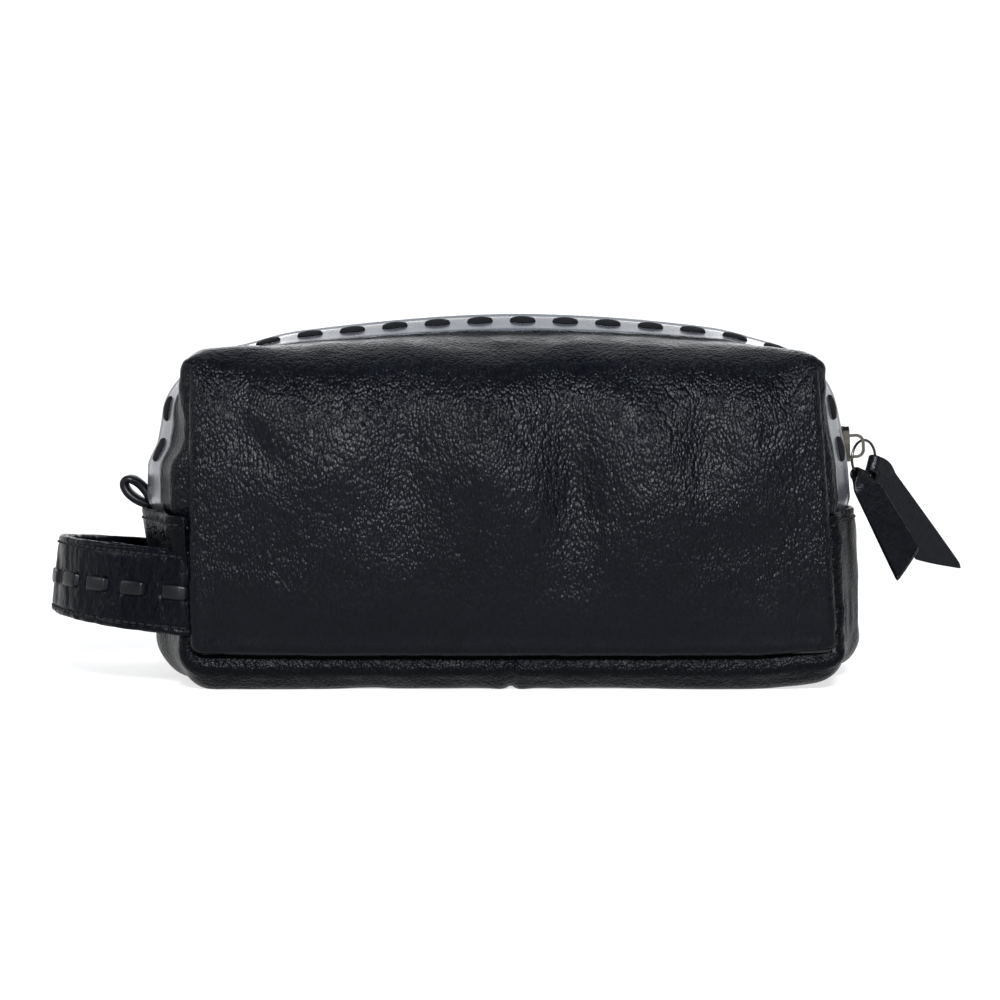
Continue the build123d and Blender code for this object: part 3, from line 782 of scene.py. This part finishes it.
# The floor runs back and curves up into the backdrop: y and z.
FLOOR_PROFILE = [(-FLOOR_HALF, 0.0), (1.6, 0.0), (2.0, 0.05), (2.3, 0.2), (2.5, 0.5), (2.6, 1.0), (2.6, 3.0)]
# Name, place, what it points at, size, power, colour.
LIGHTS = [
    ("overhead", (0.0, 1.1, 2.2), (0, 0.9, 0), (3.2, 2.0), 12, (0.72, 0.86, 1.0)),
    ("key", (0.10, -1.38, 0.72), (0, 0, 0.07), (0.42, 0.24), 62.0, (0.91, 0.95, 1.0)),
    ("side_left", (-1.5, -0.4, 0.7), (0, 0, 0.05), (0.7, 0.7), 14.0, (1, 1, 1)),
    ("side_right", (1.7, -0.1, 0.8), (0, 0, 0.05), (0.8, 0.8), 1.0, (1, 1, 1)),
    ("backdrop", (0.0, 1.2, 2.0), (0, 2.6, 0.9), (3.0, 1.0), 14, (1, 1, 1)),
    ("rear", (-0.1, 1.6, 0.55), (0, 0, 0.06), (1.2, 0.5), 6.0, (0.95, 0.97, 1.0)),
]


def studio():
    """Camera at the front, level with the top of the bag and looking slightly down, lights and floor."""
    scene = bpy.context.scene
    lens = bpy.data.cameras.new("camera")
    lens.lens = 116.4
    lens.sensor_width = 36
    lens.clip_end = 80
    scene.camera = bpy.data.objects.new("camera", lens)
    scene.camera.location = CAMERA_PLACE
    scene.camera.rotation_euler = (math.radians(90 - CAMERA_DOWN), 0, 0)
    scene.collection.objects.link(scene.camera)

    points = [(x, y, z) for y, z in FLOOR_PROFILE for x in (-FLOOR_HALF, FLOOR_HALF)]
    faces = [(2 * i, 2 * i + 1, 2 * i + 3, 2 * i + 2) for i in range(len(FLOOR_PROFILE) - 1)]
    floor = make_mesh("studio_floor", np.array(points) / MM, faces)
    n = Nodes("studio_white")
    shade = n.ramp(n.noise(n.coordinates, 400.0, 1), (0.0, 0.36), (1.0, 0.38))
    floor.data.materials.append(n.shade(Base_Color=shade, Roughness=0.9, Specular_IOR_Level=0.1,
                                        Emission_Color=(1, 1, 1, 1), Emission_Strength=0.72))

    for name, place, target, size, power, colour in LIGHTS:
        data = bpy.data.lights.new(name, "AREA")
        data.shape = "RECTANGLE"
        data.size, data.size_y = size
        data.energy = power
        data.color = colour
        light = bpy.data.objects.new(name, data)
        light.location = place
        light.rotation_euler = (Vector(target) - Vector(place)).to_track_quat("-Z", "Y").to_euler()
        scene.collection.objects.link(light)

    world = bpy.data.worlds.new("world")
    world.use_nodes = True
    background = world.node_tree.nodes["Background"]
    background.inputs[0].default_value = (0.95, 0.97, 1.0, 1)
    background.inputs[1].default_value = 0.03
    scene.world = world
    scene.view_settings.view_transform = "Standard"
    scene.view_settings.look = "None"


# ---------------------------------------------------------------- leather pieces and lining
# The gusset's hem stands out at each end, and the panels and bands go in behind it.
HEM_FLARE_LEFT = 2.3
HEM_FLARE_RIGHT = 1.2
TUCK_DEPTH = 1.75
# The lining's depth under the leather's outer side, and its own thickness.
LINING_INSET = 3.6
LINING_THICK = 0.5


def near_ends(points, full):
    """1 at the two ends and 0 along the faces, reaching 1 at this distance from the middle."""
    wrap = np.abs(points[:, 1]) < SEAM_Y + 0.5
    return smoothstep(np.abs(points[:, 0]), 98, full) * wrap


def hem_flare(points):
    """How far each point of the gusset moves out towards its hem."""
    proud = np.where(points[:, 0] < 0, HEM_FLARE_LEFT, HEM_FLARE_RIGHT)
    return proud * near_ends(points, 108) * smoothstep(points[:, 2], HEM_Z - 24, HEM_Z - 1)


def leather_pieces(points, quads, parts):
    """Panels, gusset halves and zip bands as thick leather."""
    panel = pebbled_leather("panel_leather", stretch=(1, 1, 0.62), smooth_below=(38, 62))
    gusset = pebbled_leather("gusset_leather", tone=(0.0012, 0.0014, 0.0020), depth=0.3, shine=0.04)
    band = glazed_leather_painted_reflection("band_leather")
    plan = [(f"{side}_panel", panel, "pebbled_leather", f"{side}_panel") for side, _ in SIDES]
    plan += [(f"gusset_{end}", gusset, "gusset_leather", f"gusset_{end}") for end in ENDS]
    plan += [(f"band_{side}", band, "band_leather", f"zip_band_{side}") for side, _ in SIDES]
    for name, material, slot_name, node in plan:
        own, own_quads = cut_out(points, quads, (parts == name).any(axis=1))
        if material is gusset:
            shift = hem_flare(own)
        else:
            tuck = 1 - smoothstep(own[:, 2], HEM_Z - 1.5, HEM_Z + 5)
            shift = -TUCK_DEPTH * tuck * near_ends(own, 104)
        own = own + normals_of(own, own_quads) * shift[:, None]
        add_piece(name + "_leather", thick_shell(own, own_quads, LEATHER), material, node)


def linings(form, quads, parts, material):
    """Thin fabric lining that follows the leather on the inside, open along the zip."""
    inner = form - normals_of(form, quads) * LINING_INSET
    plan = [(f"lining_{side}", (f"{side}_panel", f"band_{side}")) for side, _ in SIDES]
    plan += [(f"lining_gusset_{end}", (f"gusset_{end}",)) for end in ENDS]
    for name, regions in plan:
        own, own_quads = cut_out(inner, quads, np.isin(parts[:, 0], regions))
        shell = thick_shell(own, own_quads, LINING_THICK, rim_steps=1)
        add_piece(name + "_fabric", shell, material, name)


class Skin:
    """The finished surface over the top, looked up by distance along the rim and place across it."""

    def __init__(self, points, quads, ids):
        columns = np.arange(HEM_LEFT, HEM_RIGHT - 1, -1)
        self.points = points[ids][:, columns]
        self.normals = normals_of(points, quads)[ids][:, columns]

    def line(self, y):
        """Points, outward normals and distances of the line at this y, from the left hem."""
        row = float(np.interp(y, ROW_Y, np.arange(len(ROW_Y))))
        low = min(int(row), len(ROW_Y) - 2)
        share = row - low
        points, normals = (values[low] * (1 - share) + values[low + 1] * share
                           for values in (self.points, self.normals))
        return points, normals, distances_along(points)

    def along(self, y, distances):
        """Points, outward normals and directions at these distances from the left hem."""
        points, normals, along = self.line(y)
        ahead = read_at(distances + 0.5, along, points) - read_at(distances - 0.5, along, points)
        return read_at(distances, along, points), unit(read_at(distances, along, normals)), unit(ahead)


# ---------------------------------------------------------------- laces, zip and stitching
STITCH_PITCH = 15.6
STITCH_LENGTH = 9.4
LACE_STEP = 0.45
LACE_WIDTH = 5.0
LACE_THICK = 1.0
BAND_LACE_WIDTH = 5.8
BAND_LACE_Y = 15.5
BAND_STITCHES = 20

TAPE_INNER_Y = 2.1
TAPE_OUTER_Y = 9.6
TAPE_DEPTH = 1.95
TAPE_THICK = 0.55
TOOTH_PITCH = 3.0
TOOTH_LENGTH = 2.35
TOOTH_DEPTH = 1.5

THREAD_PITCH = 3.2
THREAD_LENGTH = 2.3
THREAD_THICK = 0.72

LOOP_ANGLE = 137
LOOP_LENGTH = 12.8
LOOP_SPREAD = 3.2
LOOP_WIDTH = 5.6
LOOP_THICK = 3.2


def stitch_shape(length, thick):
    """One stitch: a thread that rises from the leather, runs straight and dives again."""
    t = np.linspace(-1, 1, 9)
    centres = np.column_stack([t * length / 2, np.zeros(9), thick * (0.28 - 0.75 * np.abs(t) ** 4)])
    swell = thick * (1 - 0.45 * t ** 6)
    return sweep(centres, (0, 0, 1), (0, 1, 0), swell, swell, corner=2.0, around=8)


def running_stitch(distances, centres, over, under, crown, half):
    """Height of a woven lace at each distance, and how far it is from the middle of its stitch."""
    gap = np.abs(distances[:, None] - centres[None]).min(1)
    ramp = 1.5
    falls = smoothstep(gap, STITCH_LENGTH / 2 - 0.45 * ramp, STITCH_LENGTH / 2 + 0.75 * ramp)
    rise = crown * np.cos(np.clip(gap / half, 0, 1) * math.pi / 2)
    return over - (over - under) * falls + rise, gap


def stitch_centres(count, pitch, middle=0.0):
    """Where the middles of the stitches lie."""
    return middle + (np.arange(count) - (count - 1) / 2) * pitch


def band_laces(skin, material):
    """A lace woven through each zip band in a running stitch."""
    for name, side in SIDES:
        length = skin.line(side * BAND_LACE_Y)[2][-1]
        distances = np.arange(2.0, length - 2.0, LACE_STEP)
        centres = stitch_centres(BAND_STITCHES, STITCH_PITCH, length / 2)
        spot, out, ahead = skin.along(side * BAND_LACE_Y, distances)
        height, gap = running_stitch(distances, centres, 0.35, -2.15, crown=0.3, half=4.9)
        shift = 0.25 * noise_along(distances, 17.0, 51 + side)
        across = unit(np.cross(out, ahead))
        width = BAND_LACE_WIDTH * (1 - 0.72 * np.clip(gap / 5.2, 0, 1) ** 2.2)
        centre = spot + out * height[:, None] + across * shift[:, None]
        lace = sweep(centre, out, across, width, LACE_THICK, corner=2.6)
        add_piece(f"lace_{name}_woven", lace, material, f"lace_{name}")


def zip_tapes(skin, material):
    """Woven tapes that carry the teeth, under the turned edges of the bands."""
    for name, side in SIDES:
        rows = []
        for y in np.linspace(TAPE_INNER_Y, TAPE_OUTER_Y, 11):
            points, normals, _ = skin.line(side * y)
            # the tape is a little higher where it holds the teeth
            depth = TAPE_DEPTH - 0.35 * smoothstep(3.4 - y, 0, 1.2)
            rows.append(points - normals * depth)
        grid = np.array(rows)
        quads = grid_quads(*grid.shape[:2])
        quads = quads if side > 0 else quads[:, ::-1]
        tape = thick_shell(grid.reshape(-1, 3), quads, TAPE_THICK)
        add_piece(f"zip_tape_{name}_woven", tape, material, f"zip_tape_{name}")


def zip_teeth(skin, material):
    """Two rows of cast teeth that stand half a pitch apart, clamped on the edges of the tapes."""
    # one tooth, from the tip that meshes to the root on the tape
    t = np.array([0.0, 0.12, 0.3, 0.62, 0.85, 1.0])
    widths = np.array([0.8, 1.25, 1.7, 1.55, 1.75, 1.3])
    heights = np.array([0.8, 1.2, 1.65, 1.7, 1.8, 1.4])
    centres = np.column_stack([np.zeros(6), -0.35 - t * TOOTH_LENGTH, np.zeros(6)])
    tooth = sweep(centres, (0, 0, 1), (1, 0, 0), widths, heights, corner=3.5, around=12)
    length = skin.line(0.0)[2][-1]
    count = int(length / TOOTH_PITCH) - 4
    first = (length - (count - 1) * TOOTH_PITCH) / 2
    for name, side in SIDES:
        spot, out, ahead = skin.along(0.0, first + (np.arange(count) + side / 4) * TOOTH_PITCH)
        towards = np.tile([0.0, -side, 0.0], (count, 1))
        teeth = repeat_shape(tooth, spot - out * TOOTH_DEPTH, ahead, towards, out)
        add_piece(f"zip_teeth_{name}_cast", teeth, material, f"zip_teeth_{name}")


def hem_stitches(surface, quads, ids, material):
    """Thread that holds the turned hem of each gusset half."""
    normals = normals_of(surface, quads)
    for name, column in zip(ENDS, (HEM_LEFT + 3, HEM_RIGHT - 3)):
        row = ids[:, column]
        points = surface[row] + normals[row] * hem_flare(surface[row])[:, None]
        along = distances_along(points)
        distances = np.arange(THREAD_PITCH, along[-1] - 3.0, THREAD_PITCH)
        spot = read_at(distances, along, points)
        out = unit(read_at(distances, along, normals[row]))
        ahead = unit(read_at(distances + 1, along, points) - spot)
        stitches = repeat_shape(stitch_shape(THREAD_LENGTH, THREAD_THICK), spot + out * 0.05,
                                ahead, np.cross(out, ahead), out)
        add_piece(f"hem_stitching_{name}_thread", stitches, material, f"hem_stitching_{name}")


def end_loop(material):
    """Short folded lace sewn into the left end of the zip."""
    low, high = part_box("zip_end_loop")
    root = np.array([high.x, 0, low.z]) / MM + np.array([-0.2, 0, 1.6])
    angle = math.radians(LOOP_ANGLE)
    rise = np.array([math.cos(angle), 0, math.sin(angle)])
    drop = np.array([rise[2], 0, -rise[0]])
    turn = np.linspace(0, 2 * math.pi, 90, endpoint=False)
    share = (1 - np.cos(turn)) / 2
    reach = LOOP_LENGTH * share
    spread = LOOP_SPREAD * np.sin(turn) * (0.55 + 0.45 * share)
    lean = reach / 13.6
    centre = root + rise * reach[:, None] + drop * (spread * np.cos(0.105 * lean))[:, None]
    centre[:, 1] += 0.5 * np.sin(turn) - 1.4 * lean
    ahead = unit(np.roll(centre, -1, axis=0) - np.roll(centre, 1, axis=0))
    side = unit(np.tile([0.22, 1.0, 0.12], (90, 1)))
    side = unit(side - ahead * (side * ahead).sum(1, keepdims=True))
    width = LOOP_WIDTH + 0.5 * np.sin(3 * turn)
    loop = sweep(centre, np.cross(ahead, side), side, width, LOOP_THICK, corner=2 / 0.7, closed=True)
    add_piece("zip_end_loop_lace", loop, material, "zip_end_loop")


# ---------------------------------------------------------------- side strap
# A half circle, a little flattened, whose lower edge rises towards the middle of its length.
STRAP_RADIUS = 58.0
STRAP_FLATTENED = 0.965
STRAP_RISE = 0.13
STRAP_HALF = 14.6
STRAP_THICK = 1.35
STRAP_REACH = math.pi * STRAP_RADIUS / 2 + 1.2
# Where each layer's good side lies, and how far the ends tuck into the corner seams.
STRAP_OUTER = STRAP_RADIUS + 0.8
STRAP_BACKING = STRAP_RADIUS - 3.1
STRAP_TUCK = 1.3
STRAP_PLACE = np.array(Matrix.Translation((-110.5, 0, 32.3)) @ Matrix.Rotation(math.radians(5.4), 4, "Y")
                       @ Matrix.Rotation(math.radians(-3.0), 4, "X"))
STRAP_STITCHES = 11
STRAP_CENTRES = stitch_centres(STRAP_STITCHES, 2 * STRAP_REACH / STRAP_STITCHES)
# How far each row of thread is from the centre line.
STRAP_SEAM = 12.5
STRAP_COLUMNS = 330
STRAP_ROWS = 50


def strap_surface(arc, height, radius, lift):
    """Points on the strap: arc is measured from its middle, height from its centre line."""
    tuck = STRAP_TUCK * smoothstep(np.abs(arc), STRAP_REACH - 7, STRAP_REACH)
    angle = math.pi + arc / STRAP_RADIUS
    height = np.where(height < 0, height * (1 - STRAP_RISE * bell(arc, 0, 42)), height)
    r = radius + lift - tuck
    local = np.column_stack([STRAP_FLATTENED * r * np.cos(angle), r * np.sin(angle), height])
    return local @ STRAP_PLACE[:3, :3].T + STRAP_PLACE[:3, 3]


def strap_layer(name, node, radius, bulge, seed, leather):
    """One layer of the strap, wrinkled; a bulge of -1 turns its good side inwards."""
    arc, height = np.meshgrid(np.linspace(-STRAP_REACH, STRAP_REACH, STRAP_COLUMNS),
                              np.linspace(-STRAP_HALF, STRAP_HALF, STRAP_ROWS), indexing="ij")
    arc, height = arc.ravel(), height.ravel()
    slant = np.column_stack([arc + 0.22 * height, height * 0.20, arc * 0])
    fine = np.column_stack([arc + 0.1 * height, height * 0.35, arc * 0])
    lift = 0.34 * noise3(slant, 3.6, seed) - 0.3 * np.abs(noise3(slant, 6.0, seed + 1))
    lift += 0.12 * noise3(fine, 1.6, seed + 2)
    lift -= 0.3 * bell(np.abs(height), STRAP_SEAM, 0.8) + 0.55 * smoothstep(np.abs(height), 13.9, 15.0) ** 2
    lift *= bulge
    if bulge > 0:
        # the slits that the lace goes through
        gap = np.abs(arc[:, None] - STRAP_CENTRES[None]).min(1)
        lift -= 0.7 * bell(gap, 5.0, 1.2) * np.exp(-(height / 2.8) ** 4)
        lift += 0.25 * bell(gap, 6.6, 0.9) * np.exp(-(height / 3.2) ** 4)
    edge = height + 0.28 * noise_along(arc, 11.0, seed + 3) * np.sign(height)
    quads = grid_quads(STRAP_COLUMNS, STRAP_ROWS)
    quads = quads[:, ::-1] if bulge > 0 else quads
    shell = thick_shell(strap_surface(arc, edge, radius, lift), quads, STRAP_THICK)
    add_piece(name, shell, leather, node)


def strap_lace(material):
    """The lace woven through the outer layer."""
    distances = np.arange(-STRAP_REACH + 1, STRAP_REACH - 1, LACE_STEP)
    rise, gap = running_stitch(distances, STRAP_CENTRES, 0.6, -1.65, crown=0.2, half=4.7)
    level = distances * 0
    middle = strap_surface(distances, level, STRAP_OUTER, rise)
    outward = unit(strap_surface(distances, level, STRAP_OUTER + 5, rise) - middle)
    upward = unit(strap_surface(distances, level + 1, STRAP_OUTER, rise) - middle)
    width = LACE_WIDTH * (1 - 0.16 * np.clip(gap / 5.0, 0, 1) ** 4)
    lace = sweep(middle, outward, upward, width, LACE_THICK, corner=3.2)
    add_piece("strap_lace_woven", lace, material, "strap_lace")


def strap_stitching(material):
    """A row of thread along each edge of the strap."""
    arcs = np.arange(-STRAP_REACH + 4.5, STRAP_REACH - 4.0, THREAD_PITCH)
    arc, height = np.tile(arcs, 2), np.repeat((STRAP_SEAM, -STRAP_SEAM), len(arcs))
    radius = STRAP_OUTER - 0.18
    spot = strap_surface(arc, height, radius, 0)
    out = unit(strap_surface(arc, height, radius + 5, 0) - spot)
    ahead = unit(strap_surface(arc + 0.5, height, radius, 0) - spot)
    stitches = repeat_shape(stitch_shape(THREAD_LENGTH, 0.7), spot, ahead, np.cross(out, ahead), out)
    add_piece("strap_stitching_thread", stitches, material, "strap_stitching")


# ---------------------------------------------------------------- pull tabs
TAB_LOOP = 2.6
TAB_CLOSED = 1.18
TAB_THICK = 1.1
# The tab's width at the ring, where the fold ends and near its tip.
TAB_NECK = 5.4
TAB_SHOULDER = 8.8
TAB_TIP = 12.0
TAB_ROWS = 170
TAB_COLUMNS = 27


def pull_tab(name, body, joint, hang, across, sides, bend, twist, material):
    """A strip of leather folded round the ring, cut off at a slant."""
    hinge = next(j for j in frame["record"]["behaviour"]["joints"] if j["name"] == joint)
    pivot = np.array(hinge["pos_m"]) / MM
    axis = unit(np.array(hinge["axis"], float))
    down = unit(np.array(hang))
    side = np.array(across)
    side = unit(side - down * side.dot(down))
    axis = axis if axis.dot(side) > 0 else -axis
    down_loop = unit(down - axis * down.dot(axis))

    # t runs across the strip, and travel along it from the fold, one leaf each way
    t = np.linspace(-1, 1, TAB_COLUMNS)[None, :]
    half_turn = math.pi * TAB_LOOP / 2
    length = sides[0] + (sides[1] - sides[0]) * (t + 1) / 2
    travel = np.linspace(-1, 1, TAB_ROWS)[:, None] * (length + half_turn)
    on_loop = np.abs(travel) < half_turn
    angle = travel / TAB_LOOP
    run = np.abs(travel) - half_turn
    depth = np.where(on_loop, -TAB_LOOP * np.cos(angle), run)
    close = TAB_CLOSED + (TAB_LOOP - TAB_CLOSED) * (1 - smoothstep(run, -0.5, 6.5))
    apart = np.where(on_loop, TAB_LOOP * np.sin(angle), np.sign(travel) * close)
    width = TAB_NECK + (TAB_SHOULDER - TAB_NECK) * smoothstep(depth, 0.0, 6.0)
    width = width + (TAB_TIP - TAB_SHOULDER) * np.clip((depth - 6) / 38, 0, 1.2)

    # the strip turns from the ring's direction at its fold to the way it hangs
    blend = smoothstep(depth, 0, 8)[..., None]
    across_now = unit(axis * (1 - blend) + side * blend)
    down_now = unit(down_loop * (1 - blend) + down * blend)
    normal = unit(np.cross(across_now, down_now))
    share = (np.clip(depth, 0, None) / 45)[..., None]
    turned = across_now * np.cos(twist * share) + normal * np.sin(twist * share)
    normal = unit(np.cross(turned, down_now))
    ripple = 0.35 * np.sin(depth / 9.0 + 1.3 * t)[..., None] * share
    points = (pivot + down_now * depth[..., None] + turned * (t * width / 2)[..., None]
              + normal * (apart[..., None] + bend * share ** 2 + ripple))

    quads = grid_quads(TAB_ROWS, TAB_COLUMNS)
    probe = (20, TAB_COLUMNS // 2)
    facing = normals_of(points.reshape(-1, 3), quads).reshape(points.shape)[probe]
    if facing.dot(normal[probe]) * apart[probe] < 0:
        quads = quads[:, ::-1]
    shell = thick_shell(points.reshape(-1, 3), quads, TAB_THICK)
    add_piece(name + "_leather", shell, material, name, body)


# ---------------------------------------------------------------- assembly
studio()
surface, form, quads, parts, ids = shape_bag()
leather_pieces(surface, quads, parts)
skin = Skin(surface, quads, ids)

metal = antique_metal("antique_metal")
tab_leather = pebbled_leather("tab_leather", pebble_mm=0.9, tone=(0.0026, 0.0028, 0.0036), depth=0.16,
                              shine=0.12)
lace_leather = plain_leather("lace_leather", (0.004, 0.004, 0.0045), 0.7)
glossy_lace = plain_leather("glossy_lace_leather", (0.0024, 0.0024, 0.003), 0.34, shine=0.12)
strap_leather = pebbled_leather("strap_leather", stretch=(1, 1, 0.4), depth=0.16, shine=0.05)
tape = woven("zip_tape", (0.010, 0.010, 0.011))
lining = woven("lining_fabric", (0.03, 0.03, 0.032), 0.6)
thread = woven("thread", (0.0035, 0.0035, 0.004), 0.4)

linings(form, quads, parts, lining)
band_laces(skin, lace_leather)
zip_tapes(skin, tape)
zip_teeth(skin, metal)
hem_stitches(surface, quads, ids, thread)
end_loop(glossy_lace)
strap_layer("strap_outer_leather", "strap_outer", STRAP_OUTER, 1.0, 61, strap_leather)
strap_layer("strap_backing_leather", "strap_backing", STRAP_BACKING, -1.0, 71, strap_leather)
strap_lace(glossy_lace)
strap_stitching(thread)
pull_tab("pull_tab_front", "tab_front", "front_tab_swing", (0.33, -0.66, -0.68), (0.93, 0.0, 0.36),
         (49.0, 39.0), 1.5, 0.25, tab_leather)
pull_tab("pull_tab_back", "tab_back", "back_tab_swing", (0.54, 0.33, -0.77), (0.85, 0.0, 0.54),
         (42.0, 54.0), -1.5, -0.2, tab_leather)

# The metal CAD pieces keep their shape and take the same metal as the teeth.
for entry in frame["record"]["subparts"]:
    if entry["material_slot"] in ("zip_metal", "slider_metal"):
        node = frame["nodes"][entry["node"]]
        node.data.materials.clear()
        node.data.materials.append(metal)
